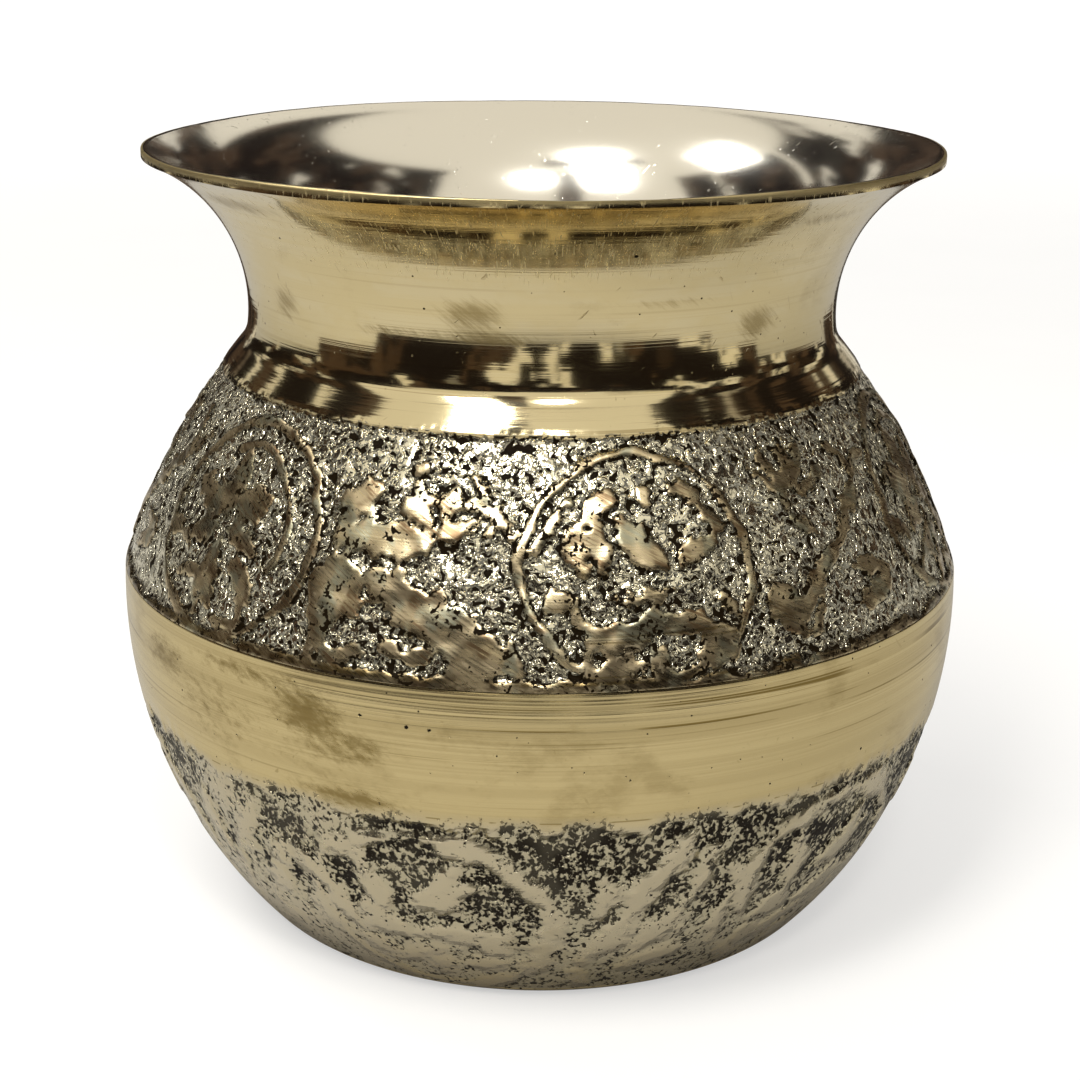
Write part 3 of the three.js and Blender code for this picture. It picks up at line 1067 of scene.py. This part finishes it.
def shoulder_metal(finish):
    """Polished collar and worn forms, and a ground of bright grains with black crevices."""
    material, tree = new_material("etched_brass")
    place = tree.place()
    etch, lining, polish, border, combed = tree.attributes("etch", "lining", "polish", "border", "combed")
    outside = 1.0 - lining
    lathe, film, holes, hair = shared_marks(tree, place, SHOULDER_LEAN, 0.8, 0.9)
    stipple = tree.group("stippled_ground", vector=place, etch=etch, combed=combed)
    ground = stipple["Ground"]
    smooth = (1.0 - ground) * outside
    worn = smooth * (1.0 - polish)
    along = unrolled(tree, place, SHOULDER_LEAN).stretched((1, 1, 0.07), (0, -56, 0))
    brushed = along.noise(0.34 * MM)
    brown = place.noise(4.6 * MM).ramp(0.50, 0.60) * brushed.ramp(0.42, 0.58, 1.0, 0.45)
    dulled = place.stretched((1.3, 1.3, 1)).noise(4.2 * MM).ramp(0.50, 0.62)
    worn_tone = tree.coats(finish.worn, (dulled, finish.dulled), (brown, finish.umber))
    streaks = film * 0.2 + brushed.ramp(0.36, 0.62, 1.0, 0.55)
    # Patches that break up the painted dark reflection along the ridge
    ridge_reflection_patches = place.stretched((1, 1, 2.0)).noise(2.6 * MM, 3.0, 0.6)
    sponge = place.noise(0.55 * MM, 1.0, 0.5, 0.4)
    open_here = place.noise(2.6 * MM, 1.0).ramp(0.44, 0.62, 0.0, 0.15)
    holes = (holes | (sponge < open_here + 0.275)) * worn
    black = (stipple["Pits"] | holes) * outside
    tree.give("Base Color", tree.coats(
        finish.polished,
        (ground, finish.etched),
        (tree.math("MULTIPLY", streaks, worn, clamp=True), worn_tone),
        # Painted dark reflection on the plain strip above the ridge
        (border * ridge_reflection_patches.ramp(0.42, 0.58, 0.1, 0.8), finish.ridge_dark_reflection),
        ((lathe["Lines"] | hair) * smooth * 0.45, finish.tarnish),
        # The foot of each raised form, darkened: partly oxide, partly painted shade of the relief
        (stipple["Rim"] * polish.blend(0.8, 0.2), finish.oxide),
        (black, finish.oxide),
        (lining, finish.lining),
    ))
    satin = brushed.ramp(0.4, 0.6, 0.34, 0.24)
    rough = ground.blend(polish.blend(satin, 0.1), 0.13)
    tree.give("Roughness", black.blend(lining.blend(rough, 0.16), 0.5))
    tree.give("Metallic", 1.0 - black)
    rings = (lathe["Height"] * smooth).bump(0.012 * MM)
    tree.give("Normal", stipple["Height"].bump(0.24 * MM, rings))
    return material


def bowl_metal(finish):
    """The turned band, with tool lines and smudges, and greyer metal below it with black acid pits."""
    material, tree = new_material("turned_brass")
    tree.give("IOR", 1.2)
    place = tree.place()
    height = place.split()[2]
    etch, below, lining, upper, touched = tree.attributes("etch", "below", "lining", "upper", "touched")
    outside = 1.0 - lining
    band = (1.0 - below) * outside
    lathe, film, pits, hair = shared_marks(tree, place, 0.0, 0.62, 0.24)
    acid = tree.group("acid_pits", vector=place, etch=etch)
    film = (film * 0.35 | smudges(tree, place, touched, 1.8 * MM, (1, 1, 2.4), (0, 25, 0))) * outside
    tone = lathe["Tone"].ramp(0.42, 0.60, 0.3, 0.0) * upper.blend(0.5, 1.0)
    lines = lathe["Lines"] * upper.blend(0.45, 1.0)
    off_groove = abs(height - BAND_GROOVE)
    groove = off_groove.ramp(0.12 * MM, 0.04 * MM) * etch.ramp(0.1, 0.0) * outside
    faded = place.noise(7 * MM).ramp(0.40, 0.56, 0.84, 0.99)
    black = (acid["Pits"] * (below * faded) | pits) * outside
    tree.give("Base Color", tree.coats(
        finish.turned,
        (below, finish.bowl),
        (film * below.blend(0.85, 0.5), finish.tarnish),
        ((lines | tone | hair * 0.4) * band, finish.tarnish),
        # Painted shade: darker towards the base
        (height.ramp(13 * MM, 1 * MM, 0.0, 0.55) * below, finish.tarnish),
        (groove * 0.7, finish.tarnish),
        (etch.ramp(0.15, 0.85, 0.0, 0.35) * below, finish.dulled),
        (acid["Shade"] * (below * 0.5), finish.oxide),
        (black, finish.oxide),
        (lining, finish.lining),
    ))
    rough = below.blend(0.2, 0.27) + film * 0.12
    tree.give("Roughness", black.blend(rough, 0.5))
    tree.give("Metallic", 1.0 - black)
    rings = (lathe["Height"] * band).bump(0.03 * MM)
    eaten = ((acid["Height"] - etch * 2.0) * below * outside).bump(0.30 * MM, rings)
    tree.give("Normal", (pits * outside * -1.0).bump(0.08 * MM, eaten))
    return material


def filler_metal(finish):
    """Dull brazing metal that has run and frozen."""
    material, tree = new_material("brazing_metal")
    place = tree.place()
    lumps = place.noise(1.6 * MM, 3.0, 0.6)
    film = tree.group("handling_tarnish", vector=place, amount=0.7)["Mask"]
    hollows = lumps.ramp(0.55, 0.3, 0.0, 0.4)
    metal = tree.coats(finish.braze, (film * 0.7, finish.tarnish), (hollows, finish.oxide))
    tree.give("Base Color", metal)
    tree.give("Roughness", lumps.ramp(0.3, 0.7, 0.5, 0.3))
    tree.give("Normal", lumps.bump(0.15 * MM))
    return material


# Operators

class KalashOperator(bpy.types.Operator):
    bl_options = {"REGISTER", "UNDO"}


def prepared(context):
    """Builds the shared node groups, and gives the sizes, the form and the finish."""
    shared_groups()
    sizes = context.scene.kalash_sizes
    return sizes, Form(sizes), context.scene.kalash_finish


def below_top(form, blend, height):
    """0 below the lip and 1 at its top, with the change between two depths."""
    return smoothstep(form.top - blend[0], form.top - blend[1], height)


class OBJECT_OT_kalash_neck(KalashOperator):
    """Spin the neck and its flared mouth"""

    bl_idname = "object.kalash_neck"
    bl_label = "Neck and Mouth"

    def execute(self, context):
        sizes, form, finish = prepared(context)
        shell = spin_shell("spun_neck", neck_section(sizes, form), sizes.columns)
        azimuth, radius, height = vertex_places(shell)
        on_lip = radius > form.lip_radius - LIP_BREAK
        add_attributes(
            shell,
            lining=self.lining(sizes, form, radius, height),
            touched=touches(azimuth, height, NECK_TOUCHES),
            land=below_top(form, LAND_BLEND, height) * on_lip,
        )
        displace(shell, "lip", below_top(form, DENT_BLEND, height), (LIP_DENTS, clouds("lip_dents")))
        sway = smoothstep(form.crease_height + 2 * MM, form.top, height)
        displace(shell, "sway", sway, (LIP_SWAY, clouds("lip_sway")))
        finish_piece(shell, spun_metal(finish), "mouth_neck")
        return {"FINISHED"}

    def lining(self, sizes, form, radius, height):
        """1 inside the mouth, 0 outside, with the change on the inner edge of the lip."""
        middle = form.neck.distance(radius, height)
        inner = smoothstep(form.neck.radius + 0.35 * sizes.wall, form.neck.radius + 0.9 * sizes.wall, middle)
        below = (height < form.crease_height + NOTHING) & (radius < form.crease[0] - SEAT_WIDTH)
        return np.maximum(inner * (height > form.crease_height), below)


class OBJECT_OT_kalash_shoulder(KalashOperator):
    """Spin the shoulder and raise its ornament from the stippled ground"""

    bl_idname = "object.kalash_shoulder"
    bl_label = "Etched Shoulder"

    def execute(self, context):
        sizes, form, finish = prepared(context)
        shell = spin_shell("etched_shoulder", shoulder_section(sizes, form), sizes.columns)
        azimuth, radius, height = vertex_places(shell)
        arc = form.shoulder
        outer = arc.distance(radius, height) > arc.radius - OUTER_SHARE * sizes.wall
        run = arc.run(form.ridge, radius, height)
        collar_run = arc.run(form.ridge, *arc.at_height(sizes.collar_height))
        border_run = sizes.skirt_border / MM
        etch = self.etching(border_run, azimuth, run, collar_run) * outer
        add_attributes(
            shell,
            etch=etch,
            lining=1.0 * ~outer,
            polish=smoothstep(collar_run - 0.4, collar_run + 0.2, run),
            border=smoothstep(border_run + 0.8, border_run - 0.2, run) * outer,
            combed=touches(azimuth, height, COMBED),
        )
        displace(
            shell, "ground", smoothstep(0.3, 0.8, etch),
            (-sizes.etch_depth, None),
            (sizes.grain_depth, clouds("shoulder_grain")),
        )
        field = smoothstep(0.8, 3.0, run) * smoothstep(collar_run, collar_run - 2.0, run) * outer
        displace(shell, "field", field, (WAVE_SHARE * sizes.grain_depth, clouds("shoulder_waves")))
        finish_piece(shell, shoulder_metal(finish), "shoulder_shell")
        return {"FINISHED"}

    def etching(self, border_run, azimuth, run, collar_run):
        """How far the acid has eaten the surface: 0 on raised forms, the border and the collar."""
        worn = wobble(azimuth, run, 1.7, 3.0) * 0.85 + wobble(azimuth, run, 0.75, 9.0) * 0.6
        forms, lines = shoulder_ornament(azimuth, run)
        away = np.minimum(forms + worn - 0.22, lines + 0.25 * worn - 0.06)
        border = 0.8 * border_run + wobble(azimuth, run, 2.2, 5.0) + 0.4 * worn
        away = union(away, run - border, collar_run - run + 0.15 * worn)
        return np.clip(0.5 + away / 0.9, 0, 1)


class OBJECT_OT_kalash_bowl(KalashOperator):
    """Spin the bowl, with its turned band, and etch its ornament"""

    bl_idname = "object.kalash_bowl"
    bl_label = "Etched Bowl"

    def execute(self, context):
        sizes, form, finish = prepared(context)
        shell = spin_shell("etched_bowl", bowl_section(sizes, form), sizes.columns * 5 // 6)
        azimuth, radius, height = vertex_places(shell)
        arc = form.belly
        far_out = arc.distance(radius, height) > arc.radius - OUTER_SHARE * sizes.wall
        outer = far_out & (height < form.ridge[1])
        under = far_out & (height < sizes.corner_radius) | (height < DISH_DEPTH + 0.2 * sizes.wall)
        run = arc.run(form.corner_top, radius, height)
        band_run = arc.run(form.corner_top, *arc.at_height(sizes.band_height))
        etch = self.etching(azimuth, run, band_run) * (outer & (height > 1.2 * MM))
        edge = band_run + wobble(azimuth, run, 3.4, 23.0) * 0.6
        up_band = (height - sizes.band_height) / (form.ridge[1] - sizes.band_height)
        add_attributes(
            shell,
            etch=etch,
            lining=1.0 * ~(outer | under),
            below=smoothstep(edge + 1.4, edge - 0.6, run),
            upper=smoothstep(0.35, 0.75, up_band),
            touched=touches(azimuth, height, BOWL_TOUCHES),
        )
        displace(
            shell, "ground", smoothstep(0.4, 1.0, etch),
            (-BOWL_ETCH_SHARE * sizes.etch_depth, None),
            (sizes.grain_depth, clouds("bowl_grain")),
        )
        finish_piece(shell, bowl_metal(finish), "belly_bowl")
        return {"FINISHED"}

    def etching(self, azimuth, run, band_run):
        """Densest under the band, and thinner towards the base."""
        worn = wobble(azimuth, run, 1.6, 13.0) * 0.7 + wobble(azimuth, run, 0.7, 19.0) * 0.35
        away = bowl_ornament(azimuth, run) + worn + 1.6 * wobble(azimuth, run, 4.5, 91.0)
        edge = band_run - run + wobble(azimuth, run, 3.4, 23.0) * 1.6 + 2.0 * worn
        clouded = 0.16 * wobble(azimuth, run, 6.0, 83.0) - touches(azimuth, run * MM, FAINT)
        strength = 0.55 + 0.45 * smoothstep(6.0, 22.0, run) + clouded
        return np.clip(np.clip(0.5 + np.minimum(away, edge) / 1.6, 0, 1) * strength, 0, 1)


class OBJECT_OT_kalash_braze(KalashOperator):
    """Run the rings of brazing metal into the two laps"""

    bl_idname = "object.kalash_braze"
    bl_label = "Brazed Joints"

    def execute(self, context):
        sizes, form, finish = prepared(context)
        material = filler_metal(finish)
        for name, node, section in (
            ("neck_fillet", "neck_braze", neck_braze_section(sizes, form)),
            ("belly_fillet", "belly_braze", belly_braze_section(sizes, form)),
        ):
            fillet = spin_shell(name, section, BRAZE_COLUMNS)
            finish_piece(fillet, material, node)
        return {"FINISHED"}


# The studio

CAMERA_DISTANCE = 240 * MM
CAMERA_HEIGHT = 119.4 * MM
CAMERA_PITCH = 0.310
CAMERA_ROLL = 0.009
CAMERA_LENS = 68.34
EYE_LEVEL = 68 * MM
LAMP_DISTANCE = 0.75
FLOOR_SIZE = 6.0
CARD_COLUMNS = 24

# Cards that only the metal sees: azimuth and elevation from and to in degrees, distance, and how dark it is
CARDS = (
    ("room_left", -60, -8, -20, 22, 215 * MM, 0.9),
    ("room_left_side", -86, -60, -10, 22, 215 * MM, 0.85),
    ("room_middle", -8, 24, -20, 20, 215 * MM, 0.42),
    ("room_right", 24, 62, -18, 22, 215 * MM, 0.8),
    ("room_right_side", 62, 82, -11, 22, 215 * MM, 0.75),
    ("room_far_left", -138, -80, -6, 20, 330 * MM, 0.65),
    ("room_far_right", 76, 134, -7, 20, 330 * MM, 0.7),
    ("wall_right", 52, 132, 18, 54, 340 * MM, 0.72),
    ("wall_left", -138, -72, 18, 50, 340 * MM, 0.68),
    ("beam", -18, -6, 30, 57, 340 * MM, 0.9),
    ("shelf", -64, 2, 62, 68, 340 * MM, 0.8),
    ("wall_back", 134, 222, -13.5, 30, 345 * MM, 0.9),
    ("curtain_back", 108, 170, 24, 54, 335 * MM, 1.3),
    ("doorway_back", -176, -142, 30, 49, 335 * MM, 0.8),
)

# Lamps: azimuth and elevation in degrees, width and height in metres, and the share of the main lamp's power
LAMPS = (
    ("key_lamp", -31, 56, 0.18, 0.38, 1.0),
    ("spot_lamp", 6, 47, 0.11, 0.10, 0.3),
    ("side_lamp", -108, 54, 0.24, 0.16, 0.25),
)


def seen_from(azimuth, elevation, distance):
    """The place at an azimuth, an elevation and a distance from the middle of the pot."""
    turn, rise = math.radians(azimuth), math.radians(elevation)
    flat = math.cos(rise) * distance
    return (math.sin(turn) * flat, -math.cos(turn) * flat, EYE_LEVEL + math.sin(rise) * distance)


def card(name, left, right, low, high, distance, material):
    """A curved card round the pot, between two azimuths and two elevations, hidden from the camera."""
    points = []
    for elevation in (low, high):
        x, y, z = seen_from(left, elevation, distance)
        points.append((x, y, max(z, 1 * MM)))
    panel = draw_line(name, points)
    sweep(panel, CARD_COLUMNS, math.radians(right - left))
    panel.data.materials.clear()
    panel.data.materials.append(material)
    for unseen in ("visible_camera", "visible_diffuse", "visible_shadow", "visible_transmission"):
        setattr(panel, unseen, False)


def card_material(name, studio, dark):
    """A dim room: blocks in black and brown, with a few pale ones where the card is less dark."""
    material, tree = new_material(name)
    place = tree.place()
    _, (red, green, _) = place.stretched((1, 1, 0.7)).cells(38 * MM, "CHEBYCHEV")
    mottle = place.stretched((1, 1, 0.5)).noise(16 * MM, 2.0, 0.6)
    brown = red.ramp(0.45, 0.75) * mottle.ramp(0.38, 0.5)
    pale = green.ramp(0.50 + 0.42 * dark, 0.56 + 0.42 * dark) * mottle.ramp(0.40, 0.48)
    tree.give("Metallic", 0.0)
    tree.give("Roughness", 1.0)
    tree.give("Base Color", (0, 0, 0))
    tree.give("Emission Color", tree.coats(studio.card_dark, (brown, studio.card_brown), (pale, studio.sky)))
    tree.give("Emission Strength", 1.0)
    return material


class OBJECT_OT_kalash_studio(KalashOperator):
    """Lay the floor, hang the lamps and cards, and set up the camera"""

    bl_idname = "object.kalash_studio"
    bl_label = "Studio"

    def execute(self, context):
        studio = context.scene.kalash_studio
        self.lay_floor(studio)
        self.light_world(context.scene, studio)
        for name, left, right, low, high, distance, dark in CARDS:
            card(name, left, right, low, high, distance, card_material(name, studio, dark))
        for name, azimuth, elevation, wide, tall, share in LAMPS:
            self.hang_lamp(name, azimuth, elevation, (wide, tall), studio.lamp * share)
        self.place_camera(context.scene)
        context.scene.view_settings.view_transform = "Standard"
        return {"FINISHED"}

    def lay_floor(self, studio):
        """A pale floor, darker near the camera as painted shade that all rays but the camera's see, and
        glowing for the camera alone.
        """
        deselect_all()
        bpy.ops.mesh.primitive_plane_add(size=FLOOR_SIZE, location=(0, 0, 0))
        floor = bpy.context.object
        floor.name = "floor"
        material, tree = new_material("pale_floor")
        place = tree.place()
        mottle = place.noise(40 * MM, 3.0).ramp(0.3, 0.7, 0.985, 1.0)
        to_camera = tree.out("LightPath", which="Is Camera Ray")
        # Painted shade: towards the camera the floor darkens for every ray but the camera's, so the metal
        # reflects a darker floor there
        painted_front_shade = place.split()[1].ramp(-115 * MM, -230 * MM, 1.0, 0.45)
        shade = mottle * to_camera.blend(painted_front_shade, 1.0)
        reach = tree.out("VectorMath", {0: place}, "Value", operation="LENGTH")
        far = reach.ramp(300 * MM, 1200 * MM, studio.glow, studio.glow + 0.3)
        glow = tree.out("Emission", {"Color": (1, 1, 1), "Strength": to_camera * far})
        tree.give("Metallic", 0.0)
        tree.give("Roughness", 0.85)
        tree.give("Base Color", tree.out("VectorMath", {0: studio.floor, "Scale": shade}, operation="SCALE"))
        tree.feed(tree.surface, tree.out("AddShader", {0: tree.shader, 1: glow}))
        floor.data.materials.append(material)

    def light_world(self, scene, studio):
        """White for the camera, a pale room for rays off the metal, and soft light for the rest."""
        world = bpy.data.worlds.new("studio_world")
        world.use_nodes = True
        world.node_tree.nodes.clear()
        tree = Tree(world.node_tree)
        path = tree.node("LightPath").outputs
        to_camera, glossy, through = (
            Value(tree, path[kind]) for kind in ("Is Camera Ray", "Is Glossy Ray", "Is Transmission Ray")
        )
        soft = tree.mix(glossy | through, (studio.ambient,) * 3, studio.sky)
        background = tree.out("Background", {"Color": tree.mix(to_camera, soft, (1, 1, 1))})
        tree.node("OutputWorld", {"Surface": background})
        scene.world = world

    def hang_lamp(self, name, azimuth, elevation, size, power):
        place = Vector(seen_from(azimuth, elevation, LAMP_DISTANCE))
        deselect_all()
        bpy.ops.object.light_add(type="AREA", location=place)
        lamp = bpy.context.object
        lamp.name = name
        lamp.data.shape = "RECTANGLE"
        lamp.data.size, lamp.data.size_y = size
        lamp.data.energy = power
        aim = Vector((0, 0, EYE_LEVEL)) - place
        lamp.rotation_euler = aim.to_track_quat("-Z", "Y").to_euler()

    def place_camera(self, scene):
        deselect_all()
        bpy.ops.object.camera_add()
        camera = bpy.context.object
        camera.name = "camera"
        camera.data.lens = CAMERA_LENS
        camera.data.sensor_width = 36.0
        camera.data.clip_start = 10 * MM
        camera.data.dof.use_dof = False
        tilt = Matrix.Rotation(math.pi / 2 - CAMERA_PITCH, 4, "X") @ Matrix.Rotation(CAMERA_ROLL, 4, "Z")
        camera.matrix_world = Matrix.Translation((0, -CAMERA_DISTANCE, CAMERA_HEIGHT)) @ tilt
        scene.camera = camera


class VIEW3D_PT_kalash(bpy.types.Panel):
    bl_label = "Kalash"
    bl_idname = "VIEW3D_PT_kalash"
    bl_space_type = "VIEW_3D"
    bl_region_type = "UI"
    bl_category = "Kalash"

    def draw(self, context):
        layout = self.layout
        for operator in PIECES:
            layout.operator(operator.bl_idname)
        for settings in SETTINGS:
            box = layout.box()
            group = getattr(context.scene, settings)
            for name in group.__annotations__:
                box.prop(group, name)


PIECES = (
    OBJECT_OT_kalash_neck,
    OBJECT_OT_kalash_shoulder,
    OBJECT_OT_kalash_bowl,
    OBJECT_OT_kalash_braze,
    OBJECT_OT_kalash_studio,
)
SETTINGS = {"kalash_sizes": KalashSizes, "kalash_finish": KalashFinish, "kalash_studio": KalashStudio}
CLASSES = (*SETTINGS.values(), *PIECES, VIEW3D_PT_kalash)


def register():
    for cls in CLASSES:
        bpy.utils.register_class(cls)
    for name, group in SETTINGS.items():
        setattr(bpy.types.Scene, name, PointerProperty(type=group))


def unregister():
    for name in SETTINGS:
        delattr(bpy.types.Scene, name)
    for cls in reversed(CLASSES):
        bpy.utils.unregister_class(cls)


def main():
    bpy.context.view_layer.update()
    register()
    bpy.ops.object.kalash_neck()
    bpy.ops.object.kalash_shoulder()
    bpy.ops.object.kalash_bowl()
    bpy.ops.object.kalash_braze()
    bpy.ops.object.kalash_studio()


if __name__ == "__main__":
    main()
